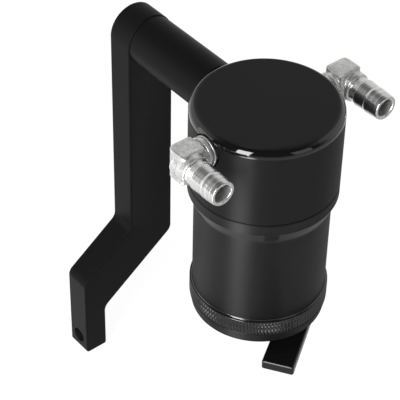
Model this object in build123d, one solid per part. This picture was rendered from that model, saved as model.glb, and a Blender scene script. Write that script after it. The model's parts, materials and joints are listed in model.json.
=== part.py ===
from build123d import *
import math
import os

# Lengths are millimetres. Pieces are drawn about the can's own axis, with zero at the flat top of the
# head, X away from the bracket and Z up. When they are written they move to the part's frame, whose
# origin is the centre of the bolt hole in the bracket's foot.
fit_gap = 0.05
small_bevel = 0.4
# How far a cutting solid runs past what it cuts, and how far a pick of edges reaches past a line.
cut_past = 1.0
pick_past = 1.0

# Head of the can.
head_radius = 38.1
head_edge_round = 4.0
head_bottom = -45.8
chamber_ceiling = -24.0

# Screwed joint of head and bowl: the bowl's socket takes the head's spigot.
collar_step = 3.4
bowl_radius = head_radius - collar_step
socket_wall = 2.4
socket_radius = bowl_radius - socket_wall
thread_clearance = 0.3
spigot_radius = socket_radius - thread_clearance
spigot_wall = 4.5
chamber_radius = spigot_radius - spigot_wall
spigot_length = 12.0
spigot_bottom = head_bottom - spigot_length
spigot_end_gap = 1.1
socket_bottom = spigot_bottom - spigot_end_gap
parting_gap = 0.3
bowl_rim = head_bottom - parting_gap

# Bowl.
collar_height = 5.6
collar_bottom = bowl_rim - collar_height
taper_height = 7.9
taper_bottom = collar_bottom - taper_height
bowl_wall = 3.7
bowl_bore_radius = bowl_radius - bowl_wall
bowl_bottom = -128.8
skirt_height = 8.0
floor_underside = bowl_bottom + skirt_height
floor_thickness = 6.0
floor_top = floor_underside + floor_thickness
floor_corner_round = 4.0
floor_corner_share = 0.3

# Grip ring round the bowl's foot, with the seat of the knurl.
grip_step = 1.3
grip_radius = bowl_radius + grip_step
grip_height = 15.0
grip_top = bowl_bottom + grip_height
grip_top_band = 0.8
knurl_top = grip_top - grip_top_band
knurl_height = 7.6
knurl_bottom = knurl_top - knurl_height
knurl_depth = 0.35
grip_low_band = 0.6
grip_straight_bottom = knurl_bottom - grip_low_band
grip_foot_step = 1.1
grip_foot_radius = grip_radius - grip_foot_step
skirt_wall = 3.5
skirt_bore_radius = grip_foot_radius - skirt_wall
undercut_depth = 0.5
undercut_height = 0.8

# Seal ring between head and bowl, midway in the bowl's rim, in a groove as deep as the ring is thick.
seal_ring_radius = (socket_radius + head_radius) / 2
seal_ring_section = 2.4
seal_groove_gap = 0.15
seal_groove_half_width = seal_ring_section / 2 + seal_groove_gap
seal_groove_bottom = head_bottom - seal_ring_section

# Elbows, the same piece twice, drawn about the crossing of their two bores.
elbow_stand_off = 13.4
elbow_reach = head_radius + elbow_stand_off
port_height = -10.5
elbow_bore_radius = 4.8
elbow_pad_height = 7.9
elbow_rear_side = 6.4
elbow_front_side = 5.9
elbow_outer_side = 5.2
elbow_port_side = 8.8
elbow_corner_round = 2.6
elbow_edge_round = 1.0
elbow_ball_radius = 7.5
elbow_collar_radius = 7.7
elbow_collar_start = 3.0
collar_edge_round = 0.8
port_collar_end = 9.3
barb_collar_end = 9.2
barb_length = 20.1
barb_neck = 4.1
barb_pitch = 7.2
barb_neck_radius = 6.75
barb_crest_radius = 7.35
barb_second_crest_radius = 7.2
barb_root_radius = 6.8
barb_tip_radius = 6.45
barb_tip_taper = 1.9
barb_mouth_bevel = 0.5
port_thread_depth = 0.85
port_thread_radius = 6.6
port_thread_root = port_thread_radius - port_thread_depth
port_thread_pitch = 1.41
port_thread_crests = 5
port_thread_crest = 0.14
port_thread_flank = 0.6
port_thread_relief = 0.5
port_stub_length = 16.4

# Side ports of the head: a spot-faced seat, the threaded hole and the passage inward.
port_seat_depth = 1.9
port_seat_reach = head_radius - port_seat_depth
port_seat_gap = 1.0
port_seat_radius = elbow_collar_radius + port_seat_gap
port_thread_gap = 0.15
port_hole_radius = port_thread_radius + port_thread_gap
port_end_gap = 0.8
port_hole_reach = elbow_reach - port_collar_end - port_stub_length - port_end_gap
passage_radius = 4.7
passage_inset = 13.5
passage_reach = chamber_radius - passage_inset

# Standoff tube and the bracket arm behind it. The arm's outline is in Y and Z.
standoff_length = 52.9
standoff_radius = 13.84
standoff_edge_bevel = 0.5
arm_face = -head_radius - standoff_length
arm_thickness = 16.0
arm_back = arm_face - arm_thickness
arm_half_width = 14.25
arm_leg_left = -47.3
arm_leg_width = 13.7
arm_leg_right = arm_leg_left + arm_leg_width
arm_left_bend_height = -139.5
arm_left_knee_height = -163.4
arm_right_bend_height = -154.0
arm_right_knee_height = -188.6
foot_hole_height = -209.3
foot_hole_margin = 8.8
foot_hole_radius = 4.5
arm_foot_bottom = foot_hole_height - foot_hole_margin
arm_bend_round = 6.0
arm_foot_round = 1.5
arm_edge_round = 1.0

# Place of the can's axis and top in the part's frame: the foot hole lies midway in the leg.
can_x = -arm_face + arm_thickness / 2
can_y = -(arm_leg_left + arm_leg_right) / 2
can_top = -foot_hole_height

# Bolt through arm and tube into the head, its head sunk in the arm's back.
bolt_height = -15.3
bolt_radius = 4.0
bolt_clearance = 0.25
bolt_way_radius = bolt_radius + bolt_clearance
bolt_head_radius = 6.5
bolt_head_height = 8.0
bolt_socket_width = 6.0
bolt_socket_depth = 4.0
bolt_engagement = 17.6
bolt_end = -head_radius + bolt_engagement
bolt_end_gap = 2.5
bolt_hole_end = bolt_end + bolt_end_gap
bolt_thread_gap = 0.1
bolt_hole_radius = bolt_radius + bolt_thread_gap
washer_radius = 8.0
washer_thickness = 1.6
washer_gap = 0.6
counterbore_radius = washer_radius + washer_gap
counterbore_depth = 10.0
counterbore_floor = arm_back + counterbore_depth
bolt_shoulder = counterbore_floor - washer_thickness

# Filter pack on its stud under the head.
stud_radius = 3.0
stud_hole_depth = 12.0
stud_hole_top = chamber_ceiling + stud_hole_depth
stud_end_gap = 0.5
stud_top = stud_hole_top - stud_end_gap
spacer_radius = 5.0
spacer_length = 8.0
pack_gap = 0.3
pack_radius = chamber_radius - pack_gap
plate_thickness = 1.5
plate_hole_radius = 2.4
plate_hole_web = 1.0
inner_hole_ring = 10.5
inner_hole_count = 5
outer_hole_inset = 7.7
outer_hole_ring = pack_radius - outer_hole_inset
outer_hole_count = 10
upper_plate_top = chamber_ceiling - spacer_length
mesh_height = 14.0
mesh_top = upper_plate_top - plate_thickness
mesh_bottom = mesh_top - mesh_height
stud_washer_radius = 6.0
stud_washer_thickness = 1.2
stud_washer_top = mesh_bottom - plate_thickness
nut_width = 10.0
nut_height = 5.0
nut_top = stud_washer_top - stud_washer_thickness
nut_bottom = nut_top - nut_height
stud_stick_out = 2.8
stud_bottom = nut_bottom - stud_stick_out
drop_tube_radius = 5.0
drop_tube_wall = 0.8
drop_tube_seat = 7.0
drop_tube_top = chamber_ceiling + drop_tube_seat
drop_tube_stick_out = 12.8
drop_tube_bottom = nut_bottom - drop_tube_stick_out

# Drain valve, a quarter-turn ball valve that hangs from the bowl's floor.
seal_washer_thickness = 1.5
seal_washer_radius = 10.5
valve_top = floor_underside - seal_washer_thickness
valve_neck = 14.2
valve_axis_height = valve_top - valve_neck
valve_stub_radius = 6.9
valve_stub_gap = 0.1
valve_stub_hole_radius = valve_stub_radius + valve_stub_gap
valve_body_radius = 10.0
valve_body_drop = 10.0
valve_body_bottom = valve_axis_height - valve_body_drop
valve_bore_radius = 3.5
ball_radius = 6.0
ball_bore_radius = 3.0
ball_gap = 0.05
seat_radius = 6.8
seat_near = 3.6
seat_far = 7.0
cavity_gap = 0.1
cavity_radius = seat_radius + cavity_gap
end_cap_radius = 8.5
end_cap_height = 3.0
end_cap_bottom = valve_body_bottom - end_cap_height
spout_radius = 5.0
spout_length = 3.0
spout_bottom = end_cap_bottom - spout_length

# The valve's stem, its lengths counted outward from the valve's axis.
slot_width = 2.5
slot_floor = 4.0
tongue_gap = 0.1
tongue_width = slot_width - 2 * tongue_gap
tongue_start = slot_floor + tongue_gap
tongue_end = 6.3
stem_disc_radius = 3.4
stem_disc_thickness = 1.0
stem_disc_end = tongue_end + stem_disc_thickness
stem_disc_gap = 0.1
stem_pocket_radius = stem_disc_radius + stem_disc_gap
stem_pocket_end = stem_disc_end + stem_disc_gap
stem_radius = 2.5
stem_gap = 0.05
stem_way_radius = stem_radius + stem_gap
boss_radius = 6.5
boss_end = 12.0
packing_radius = 4.5
packing_start = 8.4
packing_thickness = 1.6
packing_end = packing_start + packing_thickness
packing_nut_width = 10.0
packing_nut_height = 1.9
packing_nut_end = boss_end + packing_nut_height

# Lever, a flat bar square to the stem. It points between the can's front and its left side.
lever_heading = -56.6
hub_radius = 5.4
hub_gap = 0.3
hub_start = packing_nut_end + hub_gap
hub_length = 10.8
hub_end = hub_start + hub_length
hub_cover = 1.0
stem_end = hub_end - hub_cover
lever_near = 14.5
lever_far = 30.6
lever_tip_near = 14.1
lever_tip_far = 31.2
lever_tip = 41.0
lever_back = -5.5
lever_thickness = 5.6
lever_edge_round = 0.9
lever_corner_round = 1.2
set_screw_radius = 2.0
set_screw_reach = 5.3
set_screw_place = hub_start + set_screw_reach
set_screw_hex = 2.0
set_screw_hex_depth = 1.4
set_screw_recess = 0.6


def turned(points):
    """A solid turned about Z from (radius, height) points."""
    outline = Plane.XZ * Polyline(*points, close=True)
    return revolve(make_face(outline), Axis.Z)


def rod(radius, low, high):
    """An upright round bar between two heights."""
    return Pos(0, 0, low) * Cylinder(radius, high - low, align=(Align.CENTER, Align.CENTER, Align.MIN))


def rod_x(radius, start, end):
    """A round bar along X."""
    return Rot(0, 90, 0) * rod(radius, start, end)


def rod_y(radius, start, end):
    """A round bar along Y."""
    return Rot(-90, 0, 0) * rod(radius, start, end)


def ring(outer, inner, low, high):
    """An upright tube between two heights."""
    return rod(outer, low, high) - rod(inner, low, high)


def hex_bar(width, low, high):
    """An upright six-sided bar, width across its flats."""
    face = Pos(0, 0, low) * RegularPolygon(width / 2, 6, major_radius=False)
    return extrude(face, high - low)


def on_stem(shape):
    """Turns a piece drawn about Z, with the stem's run upward, onto the stem's axis."""
    return Pos(0, 0, valve_axis_height) * Rot(0, 0, lever_heading) * Rot(-90, 0, 0) * shape


def bracket_arm():
    """The flat cranked arm with its round top, bolt hole and foot hole."""
    path = [(-arm_half_width, bolt_height), (-arm_half_width, arm_left_bend_height),
            (arm_leg_left, arm_left_knee_height), (arm_leg_left, arm_foot_bottom),
            (arm_leg_right, arm_foot_bottom), (arm_leg_right, arm_right_knee_height),
            (arm_half_width, arm_right_bend_height), (arm_half_width, bolt_height)]
    outline = Plane.YZ.offset(arm_face) * Polyline(*path, close=True)
    plate = extrude(make_face(outline), -arm_thickness)
    plate += Pos(0, 0, bolt_height) * rod_x(arm_half_width, arm_back, arm_face)
    knees = [e for e in plate.edges().filter_by(Axis.X)
             if arm_foot_bottom + pick_past < e.center().Z < bolt_height - pick_past]
    plate = fillet(knees, arm_bend_round)
    foot = [e for e in plate.edges().filter_by(Axis.X) if e.center().Z < arm_foot_bottom + pick_past]
    plate = fillet(foot, arm_foot_round)
    rims = plate.faces().sort_by(Axis.X)[0].edges() + plate.faces().sort_by(Axis.X)[-1].edges()
    plate = fillet(rims, arm_edge_round)
    bolt_way = rod_x(bolt_way_radius, arm_back - cut_past, arm_face + cut_past)
    bolt_way += rod_x(counterbore_radius, arm_back - cut_past, counterbore_floor)
    plate -= Pos(0, 0, bolt_height) * bolt_way
    foot_way = rod_y(foot_hole_radius, arm_leg_left - cut_past, arm_leg_right + cut_past)
    return plate - Pos(arm_face - arm_thickness / 2, 0, foot_hole_height) * foot_way


def standoff_tube():
    """The round spacer, its far end coped to the head."""
    tube = rod_x(standoff_radius, arm_face, 0)
    tube = chamfer(tube.edges().sort_by(Axis.X)[0], standoff_edge_bevel)
    tube -= rod_x(bolt_way_radius, arm_face - cut_past, cut_past)
    tube = Pos(0, 0, bolt_height) * tube
    return tube - rod(head_radius + fit_gap, bolt_height - 2 * standoff_radius, head_radius)


def mounting_bolt():
    """The long socket screw that clamps arm and spacer to the head."""
    head_end = bolt_shoulder - bolt_head_height
    bolt = rod_x(bolt_head_radius, head_end, bolt_shoulder)
    bolt = fillet(bolt.edges().sort_by(Axis.X)[0], small_bevel)
    bolt += rod_x(bolt_radius, bolt_shoulder, bolt_end)
    socket = hex_bar(bolt_socket_width, head_end - cut_past, head_end + bolt_socket_depth)
    bolt -= Rot(0, 90, 0) * socket
    return Pos(0, 0, bolt_height) * bolt


def bolt_washer():
    """The washer under the bolt's head, in the arm's counterbore."""
    washer = rod_x(washer_radius, bolt_shoulder, counterbore_floor)
    washer -= rod_x(bolt_way_radius, bolt_shoulder - cut_past, counterbore_floor + cut_past)
    return Pos(0, 0, bolt_height) * washer


def head_housing():
    """The billet head: spigot, chamber, two side ports and the blind holes for bolt and stud."""
    head = rod(head_radius, head_bottom, 0)
    head = fillet(head.edges().sort_by(Axis.Z)[-1], head_edge_round)
    head = chamfer(head.edges().sort_by(Axis.Z)[0], small_bevel)
    head += rod(spigot_radius, spigot_bottom, head_bottom)
    head -= rod(chamber_radius, spigot_bottom - cut_past, chamber_ceiling)
    head -= rod(stud_radius + fit_gap, chamber_ceiling - cut_past, stud_hole_top)
    head -= Pos(0, 0, bolt_height) * rod_x(bolt_hole_radius, -head_radius - cut_past, bolt_hole_end)
    for side in (-1, 1):
        way = rod_y(port_seat_radius, port_seat_reach, head_radius + cut_past)
        way += rod_y(port_hole_radius, port_hole_reach, port_seat_reach)
        way += rod_y(passage_radius, passage_reach, port_hole_reach)
        way = Pos(0, 0, port_height) * way
        fall = rod(drop_tube_radius + fit_gap, chamber_ceiling - cut_past, port_height)
        way += Pos(0, passage_reach, 0) * fall
        head -= Rot(0, 0, 0 if side > 0 else 180) * way
    return head


def barb_outline():
    """Half outline of the hose end, from its collar to the tip."""
    start = barb_collar_end
    first = start + barb_neck
    second = first + barb_pitch
    end = start + barb_length
    return [(0, start), (barb_neck_radius, start), (barb_neck_radius, first), (barb_crest_radius, first),
            (barb_root_radius, second), (barb_second_crest_radius, second),
            (barb_neck_radius, end - barb_tip_taper), (barb_tip_radius, end), (0, end)]


def port_outline():
    """Half outline of the threaded end, with a few turns of thread as rings."""
    start = port_collar_end
    end = start + port_stub_length
    points = [(0, start), (port_thread_root, start)]
    for turn in range(port_thread_crests):
        foot = start + port_thread_relief + turn * port_thread_pitch
        crest = foot + port_thread_flank
        points += [(port_thread_root, foot), (port_thread_radius, crest),
                   (port_thread_radius, crest + port_thread_crest)]
    last = start + port_thread_relief + port_thread_crests * port_thread_pitch
    return points + [(port_thread_root, last), (port_thread_radius, last + port_thread_flank),
                     (port_thread_radius, end), (0, end)]


def elbow_block():
    """The forged body's square part with its two wrench flats."""
    depth = elbow_rear_side + elbow_front_side
    width = elbow_outer_side + elbow_port_side
    middle = ((elbow_front_side - elbow_rear_side) / 2, (elbow_port_side - elbow_outer_side) / 2)
    block = Pos(*middle, 0) * Box(depth, width, 2 * elbow_pad_height)
    upright = block.edges().filter_by(Axis.Z)
    block = fillet(upright.sort_by(lambda e: e.center().X + e.center().Y)[0], elbow_corner_round)
    rims = block.faces().sort_by(Axis.Z)[0].edges() + block.faces().sort_by(Axis.Z)[-1].edges()
    return fillet(rims, elbow_edge_round)


def elbow():
    """A forged right-angle fitting: hose end along X, threaded end along Y."""
    tip = barb_collar_end + barb_length
    port_end = port_collar_end + port_stub_length
    barb_collar = rod_x(elbow_collar_radius, elbow_collar_start, barb_collar_end)
    port_collar = rod_y(elbow_collar_radius, elbow_collar_start, port_collar_end)
    body = Sphere(elbow_ball_radius)
    body += fillet(barb_collar.edges().sort_by(Axis.X)[-1], collar_edge_round)
    body += fillet(port_collar.edges().sort_by(Axis.Y)[-1], collar_edge_round)
    body += elbow_block()
    body += Rot(0, 90, 0) * turned(barb_outline())
    body += Rot(-90, 0, 0) * turned(port_outline())
    bore = Sphere(elbow_bore_radius) + rod_x(elbow_bore_radius, 0, tip + cut_past)
    bore += rod_y(elbow_bore_radius, 0, port_end + cut_past)
    bevel_start = tip - barb_mouth_bevel
    mouth = turned([(0, bevel_start), (elbow_bore_radius, bevel_start),
                    (elbow_bore_radius + barb_mouth_bevel, tip), (0, tip)])
    return body - bore - Rot(0, 90, 0) * mouth


def inlet_elbow():
    """The elbow on the left, its threaded end toward the head."""
    return Pos(0, -elbow_reach, port_height) * elbow()


def outlet_elbow():
    """The same elbow rolled over for the right side."""
    return Pos(0, elbow_reach, port_height) * Rot(180, 0, 0) * elbow()


def inlet_drop_tube():
    """The tube that leads the oily air down past the filter pack."""
    tube = ring(drop_tube_radius, drop_tube_radius - drop_tube_wall, drop_tube_bottom, drop_tube_top)
    return Pos(0, -passage_reach, 0) * tube


def pack_disc(low, high, gap):
    """A disc of the filter pack with its holes for stud and drop tube."""
    disc = rod(pack_radius, low, high) - rod(stud_radius + gap, low - cut_past, high + cut_past)
    tube_way = rod(drop_tube_radius + gap, low - cut_past, high + cut_past)
    return disc - Pos(0, -passage_reach, 0) * tube_way


def screen_plate(top):
    """A perforated plate of the filter pack."""
    plate = pack_disc(top - plate_thickness, top, fit_gap)
    hole = rod(plate_hole_radius, top - plate_thickness - cut_past, top + cut_past)
    clear_of_tube = drop_tube_radius + plate_hole_radius + plate_hole_web
    for radius, count in ((inner_hole_ring, inner_hole_count), (outer_hole_ring, outer_hole_count)):
        for index in range(count):
            angle = math.radians(90 + 360 * index / count)
            x = radius * math.cos(angle)
            y = radius * math.sin(angle)
            if math.hypot(x, y + passage_reach) > clear_of_tube:
                plate -= Pos(x, y, 0) * hole
    return plate


def upper_screen():
    """The perforated plate over the mesh."""
    return screen_plate(upper_plate_top)


def filter_mesh():
    """The knitted steel mesh, as the solid puck that it fills."""
    return pack_disc(mesh_bottom, mesh_top, fit_gap)


def lower_baffle():
    """The perforated plate under the mesh, facing the bowl."""
    return screen_plate(mesh_bottom)


def filter_stud():
    """The threaded rod that carries the filter pack."""
    stud = rod(stud_radius, stud_bottom, stud_top)
    return chamfer(stud.edges().sort_by(Axis.Z)[0], small_bevel)


def stud_spacer():
    """The sleeve between the chamber's ceiling and the upper plate."""
    return ring(spacer_radius, stud_radius + fit_gap, upper_plate_top, chamber_ceiling)


def stud_washer():
    """The washer over the stud's nut."""
    return ring(stud_washer_radius, stud_radius + fit_gap, nut_top, stud_washer_top)


def stud_nut():
    """The nut that clamps the filter pack."""
    nut = hex_bar(nut_width, nut_bottom, nut_top)
    return nut - rod(stud_radius, nut_bottom - cut_past, nut_top + cut_past)


def bowl_seal_ring():
    """The rubber ring in the bowl's rim, pressed by the head's shoulder."""
    section = seal_ring_section / 2
    return Pos(0, 0, head_bottom - section) * Torus(seal_ring_radius, section)


def bowl():
    """The screw-on bowl with collar, cove, knurled grip and recessed floor."""
    grip_mid = grip_top + undercut_height
    corner = floor_corner_share * floor_corner_round
    outline = [
        (socket_radius + small_bevel, bowl_rim), (head_radius - small_bevel, bowl_rim),
        (head_radius, bowl_rim - small_bevel),
        (head_radius, collar_bottom), (bowl_radius, taper_bottom), (bowl_radius, grip_mid),
        (bowl_radius - undercut_depth, grip_mid), (bowl_radius - undercut_depth, grip_top),
        (grip_radius - small_bevel, grip_top), (grip_radius, grip_top - small_bevel),
        (grip_radius, knurl_top), (grip_radius - knurl_depth, knurl_top),
        (grip_radius - knurl_depth, knurl_bottom), (grip_radius, knurl_bottom),
        (grip_radius, grip_straight_bottom), (grip_foot_radius, bowl_bottom + small_bevel),
        (grip_foot_radius - small_bevel, bowl_bottom), (skirt_bore_radius, bowl_bottom),
        (skirt_bore_radius, floor_underside), (0, floor_underside),
        (0, floor_top), (bowl_bore_radius - floor_corner_round, floor_top),
        (bowl_bore_radius - corner, floor_top + corner),
        (bowl_bore_radius, floor_top + floor_corner_round), (bowl_bore_radius, socket_bottom),
        (socket_radius, socket_bottom), (socket_radius, bowl_rim - small_bevel)]
    cup = turned(outline)
    cup -= ring(seal_ring_radius + seal_groove_half_width, seal_ring_radius - seal_groove_half_width,
                seal_groove_bottom, bowl_rim + cut_past)
    return cup - rod(valve_stub_hole_radius, floor_underside - cut_past, floor_top + cut_past)


def drain_seal_washer():
    """The washer between bowl floor and valve body."""
    return ring(seal_washer_radius, valve_stub_hole_radius, valve_top, floor_underside)


def drain_valve_body():
    """The valve body with its threaded stub, ball cavity and side boss for the stem."""
    body = rod(valve_body_radius, valve_body_bottom, valve_top)
    body += rod(valve_stub_radius, valve_top, floor_top)
    body += on_stem(rod(boss_radius, 0, boss_end))
    body -= rod(valve_bore_radius, valve_axis_height, floor_top + cut_past)
    body -= rod(cavity_radius, valve_body_bottom - cut_past, valve_axis_height + seat_far)
    body -= on_stem(rod(stem_pocket_radius, 0, stem_pocket_end))
    body -= on_stem(rod(stem_way_radius, 0, boss_end + cut_past))
    return body - on_stem(rod(packing_radius, packing_start, boss_end + cut_past))


def drain_seat(low, high):
    """A seat ring, its inner edge cupped to the ball."""
    seat = ring(seat_radius, valve_bore_radius, low, high)
    return seat - Pos(0, 0, valve_axis_height) * Sphere(ball_radius + ball_gap)


def drain_seat_upper():
    """The seat over the ball."""
    return drain_seat(valve_axis_height + seat_near, valve_axis_height + seat_far)


def drain_seat_lower():
    """The seat under the ball."""
    return drain_seat(valve_axis_height - seat_far, valve_axis_height - seat_near)


def drain_end_cap():
    """The cap that holds the lower seat, with the drain spout."""
    cap = rod(seat_radius, valve_body_bottom, valve_axis_height - seat_far)
    cap += rod(end_cap_radius, end_cap_bottom, valve_body_bottom)
    cap += rod(spout_radius, spout_bottom, end_cap_bottom)
    return cap - rod(valve_bore_radius, spout_bottom - cut_past, valve_axis_height)


def drain_ball():
    """The ball, shut: its bore lies along the lever. A slot takes the stem's tongue."""
    ball = Sphere(ball_radius) - rod_x(ball_bore_radius, -ball_radius - cut_past, ball_radius + cut_past)
    slot = Pos(0, ball_radius, 0) * Box(2 * ball_radius, 2 * (ball_radius - slot_floor), slot_width)
    return Pos(0, 0, valve_axis_height) * Rot(0, 0, lever_heading) * (ball - slot)


def drain_stem():
    """The stem: tongue in the ball, shoulder disc, and a shank out to the lever's hub."""
    tongue_length = tongue_end - tongue_start
    tongue = Pos(0, 0, tongue_start + tongue_length / 2) * Box(ball_radius, tongue_width, tongue_length)
    disc = rod(stem_disc_radius, tongue_end, stem_disc_end)
    return on_stem(tongue + disc + rod(stem_radius, tongue_end, stem_end))


def stem_packing():
    """The soft ring around the stem."""
    return on_stem(ring(packing_radius, stem_way_radius, packing_start, packing_end))


def packing_nut():
    """The gland nut that presses the packing."""
    nut = rod(packing_radius, packing_end, boss_end) + hex_bar(packing_nut_width, boss_end, packing_nut_end)
    return on_stem(nut - rod(stem_way_radius, packing_end - cut_past, packing_nut_end + cut_past))


def drain_lever():
    """The flat lever with a round hub on the stem."""
    path = [(lever_back, lever_near), (lever_tip, lever_tip_near), (lever_tip, lever_tip_far),
            (lever_back, lever_far)]
    bar = extrude(make_face(Polyline(*path, close=True)), lever_thickness / 2, both=True)
    bar = fillet(bar.edges().filter_by(Axis.Z), lever_corner_round)
    rims = bar.faces().sort_by(Axis.Z)[0].edges() + bar.faces().sort_by(Axis.Z)[-1].edges()
    bar = fillet(rims, lever_edge_round)
    hub = rod_y(hub_radius, hub_start, hub_end)
    bar += chamfer(hub.edges().sort_by(Axis.Y)[0], small_bevel)
    bar -= rod_y(stem_radius, hub_start - cut_past, stem_end)
    screw_way = rod(set_screw_radius, -hub_radius - cut_past, -stem_radius + cut_past)
    bar -= Pos(0, set_screw_place, 0) * screw_way
    return Pos(0, 0, valve_axis_height) * Rot(0, 0, lever_heading) * bar


def lever_set_screw():
    """The grub screw that holds the lever on the stem."""
    outer_end = set_screw_recess - hub_radius
    screw = rod(set_screw_radius, outer_end, -stem_radius)
    screw -= hex_bar(set_screw_hex, -hub_radius, outer_end + set_screw_hex_depth)
    return Pos(0, 0, valve_axis_height) * Rot(0, 0, lever_heading) * Pos(0, set_screw_place, 0) * screw


pieces = [bracket_arm, standoff_tube, mounting_bolt, bolt_washer, head_housing, inlet_elbow, outlet_elbow,
          inlet_drop_tube, upper_screen, filter_mesh, lower_baffle, filter_stud, stud_spacer, stud_washer,
          stud_nut, bowl_seal_ring, bowl, drain_seal_washer, drain_valve_body, drain_seat_upper,
          drain_seat_lower, drain_end_cap, drain_ball, drain_stem, stem_packing, packing_nut, drain_lever,
          lever_set_screw]

os.makedirs("parts", exist_ok=True)
for piece in pieces:
    shape = Pos(can_x, can_y, can_top) * piece()
    export_step(shape, f"parts/{piece.__name__}.step")
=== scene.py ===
import bpy
import bmesh
import json
import math
from mathutils import Matrix, Vector, noise


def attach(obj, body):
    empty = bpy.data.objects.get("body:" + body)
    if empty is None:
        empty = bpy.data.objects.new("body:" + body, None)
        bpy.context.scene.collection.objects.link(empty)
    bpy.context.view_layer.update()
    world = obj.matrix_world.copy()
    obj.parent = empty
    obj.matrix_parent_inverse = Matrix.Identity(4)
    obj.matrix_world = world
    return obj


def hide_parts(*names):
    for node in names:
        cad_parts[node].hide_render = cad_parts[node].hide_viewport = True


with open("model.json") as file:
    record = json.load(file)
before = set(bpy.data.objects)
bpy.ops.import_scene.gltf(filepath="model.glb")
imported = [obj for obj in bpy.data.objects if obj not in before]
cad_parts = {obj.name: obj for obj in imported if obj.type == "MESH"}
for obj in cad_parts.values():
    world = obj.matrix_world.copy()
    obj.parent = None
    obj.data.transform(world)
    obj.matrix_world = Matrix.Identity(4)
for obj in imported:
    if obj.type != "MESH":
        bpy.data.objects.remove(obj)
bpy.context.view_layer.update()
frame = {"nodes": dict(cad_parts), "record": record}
print("frame loaded")

mm = 0.001

# The can's axis and the flat top of its head, in millimetres of the frame.
can = {"x": 99.0, "y": 40.45, "top": 209.3}

# The viewpoint: focal length in pixels of a 400 wide frame, angles in degrees, offsets in millimetres.
view = {"focalPixels": 1677.02, "framePixels": 400.0, "sensor": 36.0, "azimuth": 49.98, "elevation": 41.36,
        "roll": -1.23, "right": 32.37, "up": 46.68, "distance": 802.26}


def canPoint(x, y, z):
    return Vector((can["x"] + x, can["y"] + y, can["top"] + z)) * mm


def addNode(tree, kind, x, y, **values):
    node = tree.nodes.new(kind)
    node.location = (x, y)
    for key, value in values.items():
        setattr(node, key, value)
    return node


# Gives a socket a fixed value, or links another node's output to it.
def feed(tree, socket, value):
    if isinstance(value, bpy.types.NodeSocket):
        tree.links.new(value, socket)
    else:
        socket.default_value = value


def addMath(tree, operation, first, second, x=0, y=0):
    node = addNode(tree, "ShaderNodeMath", x, y, operation=operation)
    for socket, value in zip(node.inputs, (first, second)):
        feed(tree, socket, value)
    return node.outputs[0]


def addMix(tree, kind, factor, first, second, x=0, y=0):
    node = addNode(tree, "ShaderNodeMix", x, y, data_type=kind)
    for name, value in (("Factor", factor), ("A", first), ("B", second)):
        feed(tree, node.inputs[name], value)
    return node.outputs["Result"]


def addRange(tree, value, low, high, start, end, x=0, y=0):
    node = addNode(tree, "ShaderNodeMapRange", x, y, interpolation_type="SMOOTHSTEP")
    tree.links.new(value, node.inputs["Value"])
    for name, number in (("From Min", low), ("From Max", high), ("To Min", start), ("To Max", end)):
        node.inputs[name].default_value = number
    return node.outputs["Result"]


def newGroup(name, inputs, outputs):
    group = bpy.data.node_groups.new(name, "ShaderNodeTree")
    for label, kind, value in inputs:
        socket = group.interface.new_socket(name=label, in_out="INPUT", socket_type="NodeSocket" + kind)
        if value is not None:
            socket.default_value = value
    for label, kind in outputs:
        group.interface.new_socket(name=label, in_out="OUTPUT", socket_type="NodeSocket" + kind)
    return group, addNode(group, "NodeGroupInput", -1200, 0), addNode(group, "NodeGroupOutput", 900, 0)


# Fine grain of a finish: one noise moves colour, roughness and height together; edges rub lighter.
def grainGroup():
    group, given, result = newGroup(
        "Surface grain",
        (("Vector", "Vector", None), ("Scale", "Float", 800.0), ("Detail", "Float", 4.0),
         ("Colour low", "Float", 0.8), ("Colour high", "Float", 1.2), ("Rough low", "Float", 0.3),
         ("Rough high", "Float", 0.5), ("Edge wear", "Float", 0.3), ("Base", "Color", (0.02, 0.02, 0.02, 1)),
         ("Worn", "Color", (0.2, 0.2, 0.2, 1))),
        (("Colour", "Color"), ("Roughness", "Float"), ("Height", "Float")))
    cloud = addNode(group, "ShaderNodeTexNoise", -900, 200)
    for socket in ("Vector", "Scale", "Detail"):
        group.links.new(given.outputs[socket], cloud.inputs[socket])
    fac = cloud.outputs["Fac"]

    def between(low, high, y):
        node = addNode(group, "ShaderNodeMapRange", -500, y)
        group.links.new(fac, node.inputs["Value"])
        node.inputs["From Min"].default_value = 0.3
        node.inputs["From Max"].default_value = 0.7
        group.links.new(given.outputs[low], node.inputs["To Min"])
        group.links.new(given.outputs[high], node.inputs["To Max"])
        return node.outputs["Result"]

    tint = addNode(group, "ShaderNodeVectorMath", -200, 300, operation="SCALE")
    group.links.new(given.outputs["Base"], tint.inputs[0])
    group.links.new(between("Colour low", "Colour high", 300), tint.inputs["Scale"])
    shape = addNode(group, "ShaderNodeNewGeometry", -900, -350)
    edge = addRange(group, shape.outputs["Pointiness"], 0.52, 0.62, 0.0, 1.0, -650, -350)
    rubbed = addMath(group, "MULTIPLY", edge, given.outputs["Edge wear"], -400, -350)
    patchy = addMath(group, "MULTIPLY", rubbed, fac, -200, -350)
    colour = addMix(group, "RGBA", patchy, tint.outputs["Vector"], given.outputs["Worn"], 200, 200)
    group.links.new(colour, result.inputs["Colour"])
    group.links.new(between("Rough low", "Rough high", 0), result.inputs["Roughness"])
    group.links.new(fac, result.inputs["Height"])
    return group


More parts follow.
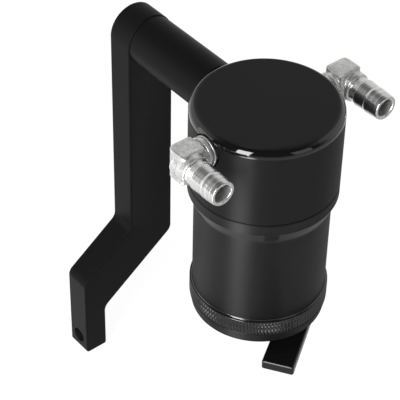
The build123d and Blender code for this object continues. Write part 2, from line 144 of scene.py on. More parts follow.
# Lines that a cutting tool leaves: noise along one run, so each line is a ring round the axis.
def latheGroup():
    group, given, result = newGroup(
        "Lathe lines", (("Along", "Float", 0.0), ("Lines per metre", "Float", 3000.0)),
        (("Line", "Float"),))
    lines = addNode(group, "ShaderNodeTexNoise", -300, 0, noise_dimensions="1D")
    run = addMath(group, "MULTIPLY", given.outputs["Along"], given.outputs["Lines per metre"], -700, 0)
    group.links.new(run, lines.inputs["W"])
    lines.inputs["Scale"].default_value = 1.0
    lines.inputs["Detail"].default_value = 3.0
    group.links.new(lines.outputs["Fac"], result.inputs["Line"])
    return group


# Hammered skin of a plated forging: shallow dents, fine pits and brighter rubbed patches.
def forgedGroup():
    group, given, result = newGroup(
        "Forged skin",
        (("Vector", "Vector", None), ("Dents", "Float", 260.0), ("Pits", "Float", 1500.0),
         ("Dull", "Color", (0.4, 0.4, 0.4, 1)), ("Bright", "Color", (0.8, 0.8, 0.8, 1))),
        (("Colour", "Color"), ("Roughness", "Float"), ("Height", "Float")))
    dents = addNode(group, "ShaderNodeTexNoise", -900, 250)
    pits = addNode(group, "ShaderNodeTexNoise", -900, -50)
    for cloud, scale, detail in ((dents, "Dents", 3.0), (pits, "Pits", 5.0)):
        group.links.new(given.outputs["Vector"], cloud.inputs["Vector"])
        group.links.new(given.outputs[scale], cloud.inputs["Scale"])
        cloud.inputs["Detail"].default_value = detail
    patch = addRange(group, dents.outputs["Fac"], 0.35, 0.65, 0.0, 1.0, -600, 250)
    speck = addRange(group, pits.outputs["Fac"], 0.4, 0.65, 0.0, 1.0, -600, -50)
    both = addMath(group, "MULTIPLY_ADD", speck, 0.5, -350, 200)
    group.links.new(addMath(group, "MULTIPLY", patch, 0.5, -450, 50), both.node.inputs[2])
    colour = addMix(group, "RGBA", both, given.outputs["Dull"], given.outputs["Bright"], 100, 250)
    group.links.new(colour, result.inputs["Colour"])
    group.links.new(addRange(group, speck, 0.0, 1.0, 0.5, 0.3, 100, 0), result.inputs["Roughness"])
    height = addMath(group, "MULTIPLY_ADD", dents.outputs["Fac"], 3.0, 0, -250)
    group.links.new(pits.outputs["Fac"], height.node.inputs[2])
    group.links.new(height, result.inputs["Height"])
    return group


grain = grainGroup()
lathe = latheGroup()
forged = forgedGroup()


def placed(tree, group, x, y, **values):
    node = addNode(tree, "ShaderNodeGroup", x, y)
    node.node_tree = group
    for name, value in values.items():
        node.inputs[name.replace("_", " ")].default_value = value
    return node


def objectCoords(tree, offset=(0, 0, 0), scale=(1, 1, 1)):
    coords = addNode(tree, "ShaderNodeTexCoord", -2200, 0)
    mapping = addNode(tree, "ShaderNodeMapping", -2000, 0)
    mapping.inputs["Location"].default_value = [-offset[i] * scale[i] for i in range(3)]
    mapping.inputs["Scale"].default_value = scale
    tree.links.new(coords.outputs["Object"], mapping.inputs["Vector"])
    return mapping.outputs["Vector"]


# The direction across the tool's lines: upright, with a little X so that a flat top has a direction too.
acrossLines = {"X": 0.02, "Z": 1.0}


# Radius and height about the can's axis, and the direction across the tool's lines on the walls.
def turnedRuns(tree, vector):
    parts = addNode(tree, "ShaderNodeSeparateXYZ", -1700, -300)
    tree.links.new(vector, parts.inputs[0])
    flat = addNode(tree, "ShaderNodeVectorMath", -1700, -500, operation="MULTIPLY")
    tree.links.new(vector, flat.inputs[0])
    flat.inputs[1].default_value = (1, 1, 0)
    length = addNode(tree, "ShaderNodeVectorMath", -1500, -500, operation="LENGTH")
    tree.links.new(flat.outputs["Vector"], length.inputs[0])
    across = addNode(tree, "ShaderNodeCombineXYZ", -1300, -700)
    for axis, share in acrossLines.items():
        across.inputs[axis].default_value = share
    return length.outputs["Value"], parts.outputs["Z"], across.outputs["Vector"]


# Of every coat, and the height of every finish's relief in metres at full strength.
coatRoughness = 0.05
bumpHeight = 0.0002


def setShader(shader, look):
    shader.inputs["Metallic"].default_value = look.get("metal", 0.0)
    shader.inputs["Specular IOR Level"].default_value = look.get("specular", 0.5)
    shader.inputs["Coat Weight"].default_value = look.get("coat", 0.0)
    shader.inputs["Coat Roughness"].default_value = coatRoughness
    shader.inputs["Anisotropic"].default_value = look.get("anisotropic", 0.0)


def newMaterial(name):
    material = bpy.data.materials.new(name)
    material.use_nodes = True
    return material, material.node_tree, material.node_tree.nodes["Principled BSDF"]


def grainNode(tree, look, vector):
    node = placed(tree, grain, -900, 0, Scale=look["grain"], Edge_wear=look.get("wear", 0.0),
                  Colour_low=look["shade"][0], Colour_high=look["shade"][1],
                  Rough_low=look["rough"][0], Rough_high=look["rough"][1],
                  Base=(*look["base"], 1), Worn=(*look.get("worn", look["base"]), 1))
    tree.links.new(vector, node.inputs["Vector"])
    return node


def addBump(tree, shader, height, strength):
    bump = addNode(tree, "ShaderNodeBump", -300, -300)
    bump.inputs["Distance"].default_value = bumpHeight
    bump.inputs["Strength"].default_value = strength
    tree.links.new(height, bump.inputs["Height"])
    tree.links.new(bump.outputs["Normal"], shader.inputs["Normal"])


# A finish with grain alone.
def plainFinish(look):
    material, tree, shader = newMaterial(look["name"])
    node = grainNode(tree, look, objectCoords(tree, scale=look.get("stretch", (1, 1, 1))))
    tree.links.new(node.outputs["Colour"], shader.inputs["Base Color"])
    tree.links.new(node.outputs["Roughness"], shader.inputs["Roughness"])
    addBump(tree, shader, node.outputs["Height"], look["bump"])
    setShader(shader, look)
    return material


# A band between two heights with its own colour and roughness, over those that come in.
def addBand(tree, height, band, colour, rough, y):
    low, high, blend = (band[key] * mm for key in ("low", "high", "blend"))
    above = addRange(tree, height, low, low + blend, 0.0, 1.0, -900, y)
    below = addRange(tree, height, high - blend, high, 1.0, 0.0, -900, y + 200)
    inside = addMath(tree, "MULTIPLY", above, below, -700, y + 100)
    colour = addMix(tree, "RGBA", inside, colour, (*band["base"], 1), -300, y + 100)
    rough = addMix(tree, "FLOAT", inside, rough, band["rough"], -300, y - 100)
    return inside, colour, rough


# A finish turned about the can's axis: ring lines, and gloss stretched across them.
def turnedFinish(look):
    material, tree, shader = newMaterial(look["name"])
    vector = objectCoords(tree, offset=canPoint(0, 0, 0))
    node = grainNode(tree, look, vector)
    radius, height, across = turnedRuns(tree, vector)
    marks = placed(tree, lathe, -1000, -400, Lines_per_metre=look["lines"])
    tree.links.new(addMath(tree, "ADD", radius, height, -1200, -400), marks.inputs["Along"])
    relief = addMath(tree, "MULTIPLY_ADD", marks.outputs["Line"], look["lineDepth"], -600, -300)
    tree.links.new(node.outputs["Height"], relief.node.inputs[2])
    addBump(tree, shader, relief, look["bump"])
    tree.links.new(across, shader.inputs["Tangent"])
    setShader(shader, look)
    colour, rough = node.outputs["Colour"], node.outputs["Roughness"]
    if "polish" in look:
        band, colour, rough = addBand(tree, height, look["polish"], colour, rough, 400)
        coat = addMath(tree, "MULTIPLY", band, look["polish"]["coat"], -500, 300)
        tree.links.new(coat, shader.inputs["Coat Weight"])
    # Painted shade: a near-black band on the wall where the head meets the bowl.
    if "seamShade" in look:
        colour, rough = addBand(tree, height, look["seamShade"], colour, rough, 900)[1:]
    tree.links.new(colour, shader.inputs["Base Color"])
    tree.links.new(rough, shader.inputs["Roughness"])
    return material


# The elbows: forged skin on the body, turned metal on the hose end.
def elbowFinish(look):
    material, tree, shader = newMaterial(look["name"])
    vector = objectCoords(tree, offset=canPoint(0, 0, 0))
    skin = placed(tree, forged, -900, 300, Dents=look["dents"], Pits=look["pits"],
                  Dull=(*look["dull"], 1), Bright=(*look["bright"], 1))
    tree.links.new(vector, skin.inputs["Vector"])
    parts = addNode(tree, "ShaderNodeSeparateXYZ", -1500, -300)
    tree.links.new(vector, parts.inputs[0])
    marks = placed(tree, lathe, -900, -200, Lines_per_metre=look["lines"])
    tree.links.new(parts.outputs["X"], marks.inputs["Along"])
    start, end = ((look["turnedFrom"] + way * look["turnedBlend"]) * mm for way in (-1, 1))
    turned = addRange(tree, parts.outputs["X"], start, end, 0.0, 1.0, -900, -500)
    dark, light = (*look["turnedLow"], 1), (*look["turnedHigh"], 1)
    shade = addMix(tree, "RGBA", marks.outputs["Line"], dark, light, -600, -100)
    colour = addMix(tree, "RGBA", turned, skin.outputs["Colour"], shade, -300, 300)
    tree.links.new(colour, shader.inputs["Base Color"])
    rough = addMix(tree, "FLOAT", turned, skin.outputs["Roughness"], look["turnedRough"], -300, 100)
    tree.links.new(rough, shader.inputs["Roughness"])
    # The bore's wall, by its distance from the hose end's axis, is less metallic, so that it isn't black.
    sideways = addMath(tree, "ABSOLUTE", parts.outputs["Y"], 0.0, -1300, -600)
    aside = addMath(tree, "SUBTRACT", sideways, look["reach"] * mm, -1100, -600)
    above = addMath(tree, "SUBTRACT", parts.outputs["Z"], look["height"] * mm, -1100, -800)
    squares = [addMath(tree, "MULTIPLY", run, run, -900, y) for run, y in ((aside, -600), (above, -800))]
    away = addMath(tree, "SQRT", addMath(tree, "ADD", *squares, -700, -700), 0.0, -500, -700)
    low, high = (edge * mm for edge in look["bore"])
    inBore = addRange(tree, away, low, high, 1.0, 0.0, -300, -700)
    metal = addRange(tree, inBore, 0.0, 1.0, look["metal"], look["boreMetal"], -100, -700)
    tree.links.new(metal, shader.inputs["Metallic"])
    relief = addMix(tree, "FLOAT", turned, skin.outputs["Height"], marks.outputs["Line"], -600, -400)
    addBump(tree, shader, relief, look["bump"])
    setShader(shader, look)
    return material


# One look for each material slot: colours are linear, grain and lines are per metre, places in millimetres.
looks = {
    "black_anodised": {"name": "Black anodised arm", "base": (0.005, 0.005, 0.0051), "grain": 2200.0,
                       "shade": (0.85, 1.2), "rough": (0.42, 0.5), "bump": 0.05, "specular": 0.07,
                       "wear": 0.3, "worn": (0.06, 0.06, 0.06)},
    "black_anodised_tube": {"name": "Black anodised spacer", "base": (0.003, 0.003, 0.0031), "grain": 2200.0,
                            "shade": (0.85, 1.2), "rough": (0.4, 0.48), "bump": 0.05, "specular": 0.09},
    "black_anodised_bowl": {"name": "Black anodised bowl", "make": turnedFinish,
                            "base": (0.0072, 0.0072, 0.0074), "grain": 2600.0, "shade": (0.85, 1.15),
                            "rough": (0.44, 0.52), "bump": 0.05, "specular": 0.28,
                            "anisotropic": 0.9, "lines": 2600.0, "lineDepth": 0.8, "wear": 0.25,
                            "worn": (0.08, 0.08, 0.08),
                            "polish": {"low": -59.9, "high": -51.2, "blend": 1.0,
                                       "base": (0.0072, 0.0072, 0.0074), "rough": 0.38, "coat": 0.26}},
    "plated_fitting": {"name": "Plated forging", "make": elbowFinish, "dull": (0.56, 0.56, 0.555),
                       "bright": (0.84, 0.84, 0.83), "dents": 260.0, "pits": 1400.0, "lines": 640.0,
                       "turnedFrom": 9.2, "turnedLow": (0.56, 0.56, 0.555), "turnedHigh": (0.9, 0.9, 0.89),
                       "turnedRough": 0.26, "turnedBlend": 0.3, "bump": 0.35, "metal": 1.0, "reach": 51.5,
                       "height": -10.5, "bore": (4.85, 5.05), "boreMetal": 0.82},
    "nickel_brass": {"name": "Nickel plated brass", "base": (0.56, 0.55, 0.52), "grain": 1500.0,
                     "shade": (0.9, 1.1), "rough": (0.2, 0.32), "bump": 0.15, "metal": 1.0},
    "polished_ball": {"name": "Polished ball", "base": (0.75, 0.75, 0.75), "grain": 900.0,
                      "shade": (0.95, 1.05), "rough": (0.06, 0.12), "bump": 0.02, "metal": 1.0},
    "black_steel": {"name": "Black oxide steel", "base": (0.03, 0.03, 0.03), "grain": 1800.0,
                    "shade": (0.8, 1.3), "rough": (0.35, 0.5), "bump": 0.15, "metal": 0.6},
    "zinc_steel": {"name": "Zinc plated steel", "base": (0.55, 0.56, 0.57), "grain": 1300.0,
                   "shade": (0.85, 1.1), "rough": (0.25, 0.4), "bump": 0.15, "metal": 1.0},
    "stainless_plate": {"name": "Stainless sheet", "base": (0.55, 0.55, 0.54), "grain": 400.0,
                        "stretch": (1, 12, 1), "shade": (0.9, 1.08), "rough": (0.25, 0.4), "bump": 0.15,
                        "metal": 1.0},
    "steel_mesh": {"name": "Knitted steel wire", "base": (0.35, 0.35, 0.34), "grain": 1500.0,
                   "shade": (0.2, 1.6), "rough": (0.3, 0.6), "bump": 1.0, "metal": 1.0},
    "bare_aluminium": {"name": "Machined aluminium", "base": (0.7, 0.7, 0.7), "grain": 1600.0,
                       "shade": (0.9, 1.08), "rough": (0.28, 0.42), "bump": 0.15, "metal": 1.0},
    "gloss_black": {"name": "Gloss black lever", "base": (0.0048, 0.0048, 0.0048), "grain": 900.0,
                    "shade": (0.9, 1.1), "rough": (0.14, 0.2), "bump": 0.03, "specular": 0.5,
                    "wear": 0.2, "worn": (0.03, 0.03, 0.03)},
    "rubber": {"name": "Moulded rubber", "base": (0.012, 0.012, 0.012), "grain": 1800.0,
               "shade": (0.8, 1.3), "rough": (0.55, 0.75), "bump": 0.2},
    "white_plastic": {"name": "White valve plastic", "base": (0.8, 0.8, 0.78), "grain": 900.0,
                      "shade": (0.96, 1.02), "rough": (0.4, 0.55), "bump": 0.08}}

# The head is turned like the bowl, and its rounded edge is polished. A near-black band on its wall just
# above the joint with the bowl is painted shade.
headLook = {"name": "Black anodised head", "base": (0.008, 0.008, 0.0082), "grain": 2200.0,
            "shade": (0.9, 1.12), "rough": (0.42, 0.5), "bump": 0.04, "specular": 0.19, "anisotropic": 0.9,
            "lines": 2600.0, "lineDepth": 0.8, "wear": 0.0,
            "seamShade": {"low": -46.4, "high": -44.9, "blend": 0.1, "base": (0.0008, 0.0008, 0.0008),
                     "rough": 0.95},
            "polish": {"low": -4.6, "high": -0.05, "blend": 0.5, "base": (0.002, 0.002, 0.002), "rough": 0.1,
                       "coat": 1.0}}

# The knurl's faces are cut bright, and the edge above them is polished.
knurlLook = {"name": "Cut knurl", "base": (0.0085, 0.0085, 0.0088), "grain": 2600.0, "shade": (0.85, 1.2),
             "rough": (0.12, 0.17), "bump": 0.02, "specular": 0.4, "wear": 0.2, "worn": (0.06, 0.06, 0.06)}
rimLook = {"name": "Polished grip edge", "base": (0.004, 0.004, 0.004), "grain": 1800.0, "shade": (0.9, 1.1),
           "rough": (0.1, 0.15), "bump": 0.01, "specular": 0.6, "coat": 0.6}

made = {slot: look.get("make", plainFinish)(look) for slot, look in looks.items()}
headFinish = turnedFinish(headLook)
knurlFinish = plainFinish(knurlLook)
rimFinish = plainFinish(rimLook)
slotOf = {part["node"]: part["material_slot"] for part in frame["record"]["subparts"]}
for name, piece in frame["nodes"].items():
    piece.data.materials.clear()
    piece.data.materials.append(headFinish if name == "head_housing" else made[slotOf[name]])
print("materials made")


def finishPiece(builder, name, body, slot, finish=None):
    bmesh.ops.recalc_face_normals(builder, faces=builder.faces[:])
    data = bpy.data.meshes.new(name)
    builder.to_mesh(data)
    builder.free()
    piece = bpy.data.objects.new(name, data)
    bpy.context.collection.objects.link(piece)
    data.materials.append(finish or made[slot])
    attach(piece, body)
    return piece


def shadeSmooth(piece, degrees=None):
    piece.data.polygons.foreach_set("use_smooth", [True] * len(piece.data.polygons))
    if degrees:
        piece.data.set_sharp_from_angle(angle=math.radians(degrees))


# Takes what was built in millimetres about the can's axis to its place in the frame.
def intoFrame(builder):
    bmesh.ops.scale(builder, vec=(mm, mm, mm), verts=builder.verts[:])
    bmesh.ops.translate(builder, vec=canPoint(0, 0, 0), verts=builder.verts[:])


# The bowl with the seat of its knurl taken up to the ledge, and a shallower groove over the ledge.
grip = {"seat": 35.4, "low": -122.25, "top": -113.8, "ledgeUp": -112.4, "groove": 34.62, "inside": 33.25,
        "slack": 0.05, "sharp": 14}
# Points of the solids' meshes that are closer than this, in metres, are one point.
weld = 2e-6


def grippedBowl():
    builder = bmesh.new()
    builder.from_mesh(frame["nodes"]["bowl"].data)
    bmesh.ops.remove_doubles(builder, verts=builder.verts[:], dist=weld)
    centre = canPoint(0, 0, 0)
    for vert in builder.verts:
        place = (vert.co - centre) / mm
        radius = place.xy.length
        beside = grip["low"] < place.z < grip["top"] + grip["slack"]
        over = grip["top"] - grip["slack"] < place.z < grip["ledgeUp"]
        if beside and radius > grip["seat"]:
            wanted = grip["seat"]
        elif over and grip["inside"] < radius < grip["groove"]:
            wanted = grip["groove"]
        else:
            continue
        flat = place.xy * (wanted / radius)
        vert.co = centre + Vector((flat.x, flat.y, place.z)) * mm
    bmesh.ops.remove_doubles(builder, verts=builder.verts[:], dist=weld)
    piece = finishPiece(builder, "gripped_bowl", "bowl_and_valve", "black_anodised_bowl")
    shadeSmooth(piece, grip["sharp"])
    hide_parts("bowl")


# The grip's top edge: a small cove at the wall and a rounded corner outside, turned about the axis.
rim = {"radius": 36.05, "round": 0.3, "inner": 34.4, "cove": 0.9, "wall": 34.72, "bend": 6, "steps": 192,
       "sharp": 40}


def gripRim():
    builder = bmesh.new()
    foot, top = grip["top"] - rim["round"], grip["top"] + rim["cove"]
    wall = builder.verts.new((rim["wall"], 0, top))
    outside = builder.verts.new((rim["radius"], 0, foot))
    ends = []
    bends = ((wall, rim["wall"] + rim["cove"], top), (outside, rim["radius"] - rim["round"], foot))
    for start, x, z in bends:
        arc = bmesh.ops.spin(builder, geom=[start], cent=(x, 0, z), axis=(0, -1, 0), angle=math.pi / 2,
                             steps=rim["bend"])
        ends.append([v for v in arc["geom_last"] if isinstance(v, bmesh.types.BMVert)][0])
    builder.edges.new(ends)
    corners = [wall, *(builder.verts.new((rim["inner"], 0, z)) for z in (top, foot)), outside]
    for first, second in zip(corners, corners[1:]):
        builder.edges.new((first, second))
    bmesh.ops.spin(builder, geom=builder.verts[:] + builder.edges[:], cent=(0, 0, 0), axis=(0, 0, 1),
                   angle=2 * math.pi, steps=rim["steps"], use_merge=True)
    intoFrame(builder)
    piece = finishPiece(builder, "grip_rim", "bowl_and_valve", "black_anodised_bowl", rimFinish)
    shadeSmooth(piece, rim["sharp"])


# Diamond knurl round the bowl's grip: one strip of pyramids, turned round the axis, and its two zigzag rims
# joined straight by a strip that runs among the diamonds.
knurl = {"count": 126, "crest": 36.08, "valley": 35.58, "low": -122.2, "high": -113.6, "rows": 5,
         "weld": 0.01}


def knurlRing():
    builder = bmesh.new()
    step = 2 * math.pi / knurl["count"]
    height = knurl["high"] - knurl["low"]
    bmesh.ops.create_grid(builder, x_segments=2, y_segments=knurl["rows"], size=0.5)
    valleys = []
    for vert in builder.verts:
        column = round(vert.co.x * 2) + 1
        row = round((vert.co.y + 0.5) * knurl["rows"])
        crest = (column + row) % 2 == 0
        if not crest:
            valleys.append(vert)
        radius = knurl["crest"] if crest else knurl["valley"]
        angle = vert.co.x * step
        up = knurl["low"] + height * (vert.co.y + 0.5)
        vert.co = (radius * math.cos(angle), radius * math.sin(angle), up)
    bmesh.ops.connect_verts(builder, verts=valleys)
    bmesh.ops.spin(builder, geom=builder.verts[:] + builder.edges[:] + builder.faces[:], cent=(0, 0, 0),
                   axis=(0, 0, 1), angle=2 * math.pi - step, steps=knurl["count"] - 1, use_duplicate=True)
    bmesh.ops.remove_doubles(builder, verts=builder.verts[:], dist=knurl["weld"])
    bmesh.ops.bridge_loops(builder, edges=[e for e in builder.edges if e.is_boundary])
    intoFrame(builder)
    finishPiece(builder, "grip_knurl", "bowl_and_valve", "black_anodised_bowl", knurlFinish)


# Thread on the head's spigot, seen when the bowl is unscrewed: a ridge spun down in a helix.
thread = {"root": 31.98, "crest": 32.16, "sunk": 0.3, "pitch": 2.0, "halfWidth": 0.6, "halfLand": 0.21,
          "turns": 4.6, "first": -47.6, "stepsPerTurn": 96}


def spigotThread():
    builder = bmesh.new()
    lower = [(thread["root"] - thread["sunk"], -thread["halfWidth"]), (thread["root"], -thread["halfWidth"]),
             (thread["crest"], -thread["halfLand"])]
    points = lower + [(x, -z) for x, z in reversed(lower)]
    verts = [builder.verts.new((x, 0, thread["first"] + z)) for x, z in points]
    edges = [builder.edges.new((verts[i], verts[(i + 1) % len(verts)])) for i in range(len(verts))]
    steps = int(thread["turns"] * thread["stepsPerTurn"])
    bmesh.ops.spin(builder, geom=verts + edges, cent=(0, 0, 0), axis=(0, 0, 1), steps=steps,
                   dvec=(0, 0, -thread["pitch"] / thread["stepsPerTurn"]),
                   angle=2 * math.pi * thread["turns"])
    bmesh.ops.holes_fill(builder, edges=[e for e in builder.edges if e.is_boundary], sides=len(points))
    intoFrame(builder)
    finishPiece(builder, "spigot_thread", "bracket_and_head", "black_anodised")


# The elbows: a fine even mesh of the solid with the rings and pad added, its corners rounded, its neck
# pinched, its blends eased and its skin slightly uneven. Places, in millimetres, are from the crossing of
# the two bores: x toward the hose end, y toward the port, and z away from the far pad.
forging = {"voxel": 0.3, "rounds": 10, "endRounds": 3, "ease": 0.5, "dent": 0.09, "dentSize": 3.2,
           "bodyFrom": 9.4, "portFrom": 9.1, "reach": 51.5, "height": -10.5, "collar": 7.8,
           "front": 5.9, "rear": -6.4, "outer": -5.2, "port": 8.8, "corner": 2.2, "heelCorner": 4.2,
           "farPad": 9.0, "padFrom": 6.5, "padRound": 1.0, "neck": (9.3, 10.0), "neckOver": 6.0,
           "pinch": 0.94, "collarFrom": 3.0, "slack": 0.1}
# Rings on the port beside the body: where each starts and ends along the port, and its radius.
portRings = ((9.9, 11.9, 8.0), (12.7, 13.8, 7.9))


# Draws a point of the block in to the round of its nearest upright corner, clear of the two collars.
def roundCorner(vert):
    x, y, z = vert.co
    if x > forging["bodyFrom"] or y > forging["portFrom"]:
        return
    for along, across in ((x, y), (y, x)):
        if along > forging["collarFrom"] and math.hypot(across, z) < forging["collar"]:
            return
    for wallX, wayX in ((forging["front"], 1), (forging["rear"], -1)):
        for wallY, wayY in ((forging["port"], 1), (forging["outer"], -1)):
            radius = forging["heelCorner"] if wayX + wayY == -2 else forging["corner"]
            midX, midY = wallX - wayX * radius, wallY - wayY * radius
            away = math.hypot(x - midX, y - midY)
            if (x - midX) * wayX > 0 and (y - midY) * wayY > 0 and away > radius:
                vert.co = (midX + (x - midX) * radius / away, midY + (y - midY) * radius / away, z)


def addRings(builder, local):
    for start, end, radius in portRings:
        place = Matrix.Translation((0, (start + end) / 2, 0)) @ Matrix.Rotation(math.pi / 2, 4, "X")
        ring = bmesh.ops.create_cone(builder, cap_ends=True, segments=96, radius1=radius, radius2=radius,
                                     depth=end - start, matrix=place)
        bmesh.ops.transform(builder, matrix=local, verts=ring["verts"])


# The far pad's outer slab, which stands a little higher than the solid's, with its edges rounded.
def addPad(builder, local):
    size = (forging["front"] - forging["rear"], forging["port"] - forging["outer"],
            forging["farPad"] - forging["padFrom"])
    middle = ((forging["front"] + forging["rear"]) / 2, (forging["port"] + forging["outer"]) / 2,
              -(forging["farPad"] + forging["padFrom"]) / 2)
    place = Matrix.Translation(middle) @ Matrix.Diagonal((*size, 1))
    pad = bmesh.ops.create_cube(builder, size=1.0, matrix=place)
    under = -forging["farPad"] + forging["slack"]
    low = [e for e in builder.edges if all(v in pad["verts"] and v.co.z < under for v in e.verts)]
    rounded = bmesh.ops.bevel(builder, geom=low, offset=forging["padRound"], segments=3, profile=0.5,
                              affect="EDGES", material=-1)
    block = {v for v in pad["verts"] if v.is_valid} | set(rounded["verts"])
    bmesh.ops.transform(builder, matrix=local, verts=list(block))


# Makes an object's overlapping shells one even mesh, and gives it back as a new one to work on.
def evenMesh(copy):
    remesh = copy.modifiers.new("Even mesh", "REMESH")
    remesh.mode = "VOXEL"
    remesh.voxel_size = forging["voxel"] * mm
    evaluated = copy.evaluated_get(bpy.context.evaluated_depsgraph_get())
    even = bpy.data.meshes.new_from_object(evaluated)
    bpy.data.objects.remove(copy)
    builder = bmesh.new()
    builder.from_mesh(even)
    return builder


# Eases the blends by smoothing, and makes the body's skin slightly uneven.
def easeSkin(builder):
    body = [v for v in builder.verts if v.co.x < forging["bodyFrom"] and v.co.y < forging["portFrom"]]
    hoseEnd = [v for v in builder.verts if v.co.x >= forging["bodyFrom"]]
    for verts, rounds in ((body, forging["rounds"]), (hoseEnd, forging["endRounds"])):
        for _ in range(rounds):
            bmesh.ops.smooth_vert(builder, verts=verts, factor=forging["ease"],
                                  use_axis_x=True, use_axis_y=True, use_axis_z=True)
    builder.normal_update()
    for vert in body:
        swell = noise.noise(vert.co / forging["dentSize"])
        vert.co += vert.normal * (swell * forging["dent"])


def forgedElbow(node, name, side):
    centre = canPoint(0, side * forging["reach"], forging["height"])
    # The inlet lies with its port toward +Y; the outlet is the same forging rolled over.
    roll = Matrix.Diagonal((1, -side, -side, 1))
    local = Matrix.Translation(centre) @ roll @ Matrix.Scale(mm, 4)
    copy = bpy.data.objects.new(name, frame["nodes"][node].data.copy())
    bpy.context.collection.objects.link(copy)
    builder = bmesh.new()
    builder.from_mesh(copy.data)
    bmesh.ops.remove_doubles(builder, verts=builder.verts[:], dist=weld)
    addRings(builder, local)
    addPad(builder, local)
    builder.to_mesh(copy.data)
    builder.free()
    builder = evenMesh(copy)
    bmesh.ops.transform(builder, matrix=local.inverted(), verts=builder.verts[:])
    for vert in builder.verts:
        roundCorner(vert)
        x, y, z = vert.co
        if forging["neck"][0] < x < forging["neck"][1] and math.hypot(y, z) > forging["neckOver"]:
            vert.co = (x, y * forging["pinch"], z * forging["pinch"])
    easeSkin(builder)
    bmesh.ops.transform(builder, matrix=local, verts=builder.verts[:])
    piece = finishPiece(builder, name, "bracket_and_head", "plated_fitting")
    shadeSmooth(piece)
    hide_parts(node)


grippedBowl()
gripRim()
knurlRing()
spigotThread()
forgedElbow("inlet_elbow", "forged_inlet_elbow", -1)
forgedElbow("outlet_elbow", "forged_outlet_elbow", 1)
print("knurl, thread and elbows made")


def placeCamera():
    azimuth = math.radians(view["azimuth"])
    elevation = math.radians(view["elevation"])
    back = Vector((math.sin(azimuth) * math.cos(elevation), -math.cos(azimuth) * math.cos(elevation),
                   math.sin(elevation)))
    right = Vector((math.cos(azimuth), math.sin(azimuth), 0.0))
    up = back.cross(right)
    roll = math.radians(view["roll"])
    side = math.cos(roll) * right - math.sin(roll) * up
    top = math.sin(roll) * right + math.cos(roll) * up
    place = canPoint(0, 0, 0) - (side * view["right"] + top * view["up"] - back * view["distance"]) * mm
    data = bpy.data.cameras.new("View")
    data.sensor_width = view["sensor"]
    data.lens = view["focalPixels"] / view["framePixels"] * view["sensor"]
    data.clip_start = 0.01
    data.clip_end = 50.0
    camera = bpy.data.objects.new("View", data)
    bpy.context.collection.objects.link(camera)
    camera.matrix_world = Matrix.Translation(place) @ Matrix((side, top, back)).transposed().to_4x4()
    bpy.context.scene.camera = camera


placeCamera()

# Softboxes by the direction that they are seen in from the can's top, in degrees and millimetres.
lampDistance = 900.0
# The height that they point at on the can's axis.
lampAim = -60.0
lamps = {"Left softbox": {"azimuth": -71.0, "height": 200.0, "size": (285, 1020), "power": 12.0},
         "Side softbox": {"azimuth": -130.0, "height": 90.0, "size": (420, 620), "power": 0.9},
         "Right softbox": {"azimuth": 8.0, "height": 300.0, "size": (420, 600), "power": 0.7}}


def placeLamp(name, lamp):
    angle = math.radians(lamp["azimuth"])
    data = bpy.data.lights.new(name, "AREA")
    data.shape = "RECTANGLE"
    data.size = lamp["size"][0] * mm
    data.size_y = lamp["size"][1] * mm
    data.energy = lamp["power"]
    softbox = bpy.data.objects.new(name, data)
    bpy.context.collection.objects.link(softbox)
    start = canPoint(lampDistance * math.cos(angle), lampDistance * math.sin(angle), lamp["height"])
    toward = canPoint(0, 0, lampAim) - start
    softbox.matrix_world = Matrix.Translation(start) @ toward.to_track_quat("-Z", "Y").to_matrix().to_4x4()


for name, lamp in lamps.items():
    placeLamp(name, lamp)

# The floor is lit and shadowed for one share, and for the rest it glows, white to the camera and graded in
# gloss from near the object to far from it: dimmer near it as painted shade, with a painted pool of the left
# softbox's light. Its height is in millimetres, its other lengths in metres.
floor = {"size": 6.0, "height": -9.2, "white": 0.9, "whiteShare": 0.85, "glow": 1.08, "inGlossNear": 0.5,
         "inGlossFar": 1.0, "near": 0.10, "far": -0.06, "pool": 9.0, "poolAt": (0.2097, -0.281),
         "poolFull": 0.06, "poolTo": 0.12, "rough": 0.9, "specular": 0.1}
# The backdrop behind the object is white up to a height, in degrees; the studio before it is dim.
studio = {"behind": 137.0, "aside": (-0.4, 0.3), "whiteTo": 40.0, "dimFrom": 72.0, "dim": 0.08, "fill": 0.5,
          "inGloss": 0.75}


def brightRays(tree, x=-800, y=400):
    path = addNode(tree, "ShaderNodeLightPath", x, y)
    kinds = (path.outputs["Is Glossy Ray"], path.outputs["Is Transmission Ray"])
    return path.outputs["Is Camera Ray"], addMath(tree, "MAXIMUM", *kinds, x + 200, y)


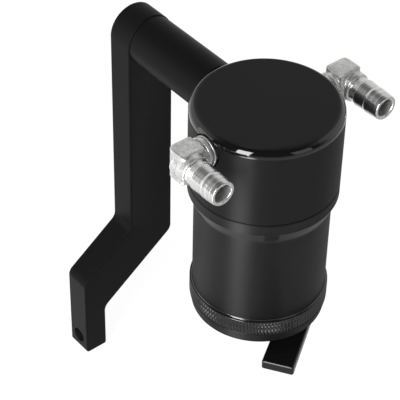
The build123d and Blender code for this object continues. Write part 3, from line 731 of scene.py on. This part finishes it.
def whiteFloor():
    builder = bmesh.new()
    bmesh.ops.create_grid(builder, x_segments=1, y_segments=1, size=floor["size"])
    data = bpy.data.meshes.new("Floor")
    builder.to_mesh(data)
    builder.free()
    plane = bpy.data.objects.new("Floor", data)
    plane.location = (0, 0, floor["height"] * mm)
    bpy.context.collection.objects.link(plane)
    material, tree, shader = newMaterial("Pale floor")
    shader.inputs["Base Color"].default_value = (floor["white"], floor["white"], floor["white"], 1)
    shader.inputs["Roughness"].default_value = floor["rough"]
    shader.inputs["Specular IOR Level"].default_value = floor["specular"]
    seen, gloss = brightRays(tree)
    either = addMath(tree, "MAXIMUM", seen, gloss, -400, 400)
    share = addMath(tree, "MULTIPLY", either, floor["whiteShare"], -200, 400)
    glow = addNode(tree, "ShaderNodeEmission", 0, 200)
    coords = addNode(tree, "ShaderNodeTexCoord", -1000, 0)
    parts = addNode(tree, "ShaderNodeSeparateXYZ", -800, 0)
    tree.links.new(coords.outputs["Object"], parts.inputs[0])
    # Painted shade in gloss: the floor glows half as bright near the object as far from it.
    paintedGlossShade = addRange(tree, parts.outputs["X"], floor["far"], floor["near"], floor["inGlossFar"],
                    floor["inGlossNear"], -600, 0)
    # The left softbox's pool of light on the floor, for gloss alone.
    reach = addNode(tree, "ShaderNodeVectorMath", -800, -200, operation="DISTANCE")
    tree.links.new(coords.outputs["Object"], reach.inputs[0])
    reach.inputs[1].default_value = (*floor["poolAt"], 0)
    pool = addRange(tree, reach.outputs["Value"], floor["poolFull"], floor["poolTo"], floor["pool"], 0.0,
                    -600, -200)
    inGloss = addMath(tree, "ADD", paintedGlossShade, pool, -450, 0)
    tree.links.new(addMix(tree, "FLOAT", seen, inGloss, floor["glow"], -300, 100), glow.inputs["Strength"])
    mix = addNode(tree, "ShaderNodeMixShader", 300, 200)
    tree.links.new(share, mix.inputs["Fac"])
    tree.links.new(shader.outputs["BSDF"], mix.inputs[1])
    tree.links.new(glow.outputs["Emission"], mix.inputs[2])
    tree.links.new(mix.outputs["Shader"], tree.nodes["Material Output"].inputs["Surface"])
    data.materials.append(material)


def studioWorld():
    world = bpy.data.worlds.new("Studio")
    bpy.context.scene.world = world
    world.use_nodes = True
    tree = world.node_tree
    coords = addNode(tree, "ShaderNodeTexCoord", -1400, 0)
    parts = addNode(tree, "ShaderNodeSeparateXYZ", -1200, 0)
    tree.links.new(coords.outputs["Generated"], parts.inputs[0])
    low = math.sin(math.radians(studio["whiteTo"]))
    high = math.sin(math.radians(studio["dimFrom"]))
    fade = addRange(tree, parts.outputs["Z"], low, high, 1.0, 0.0, -1000, 0)
    toward = addNode(tree, "ShaderNodeVectorMath", -1200, -300, operation="DOT_PRODUCT")
    tree.links.new(coords.outputs["Generated"], toward.inputs[0])
    angle = math.radians(studio["behind"])
    toward.inputs[1].default_value = (math.cos(angle), math.sin(angle), 0)
    behind = addRange(tree, toward.outputs["Value"], *studio["aside"], 0.0, 1.0, -1000, -300)
    white = addMath(tree, "MULTIPLY", fade, behind, -800, -100)
    backdrop = addRange(tree, white, 0.0, 1.0, studio["dim"], studio["inGloss"], -600, -100)
    seen, gloss = brightRays(tree, -1000, 400)
    plain = addRange(tree, seen, 0.0, 1.0, studio["fill"], 1.0, -400, 300)
    strength = addMix(tree, "FLOAT", gloss, plain, backdrop, -200, 100)
    tree.links.new(strength, tree.nodes["Background"].inputs["Strength"])
    tree.nodes["Background"].inputs["Color"].default_value = (1, 1, 1, 1)


whiteFloor()
studioWorld()
bpy.context.scene.view_settings.view_transform = "Standard"
print("camera, lamps and studio placed")
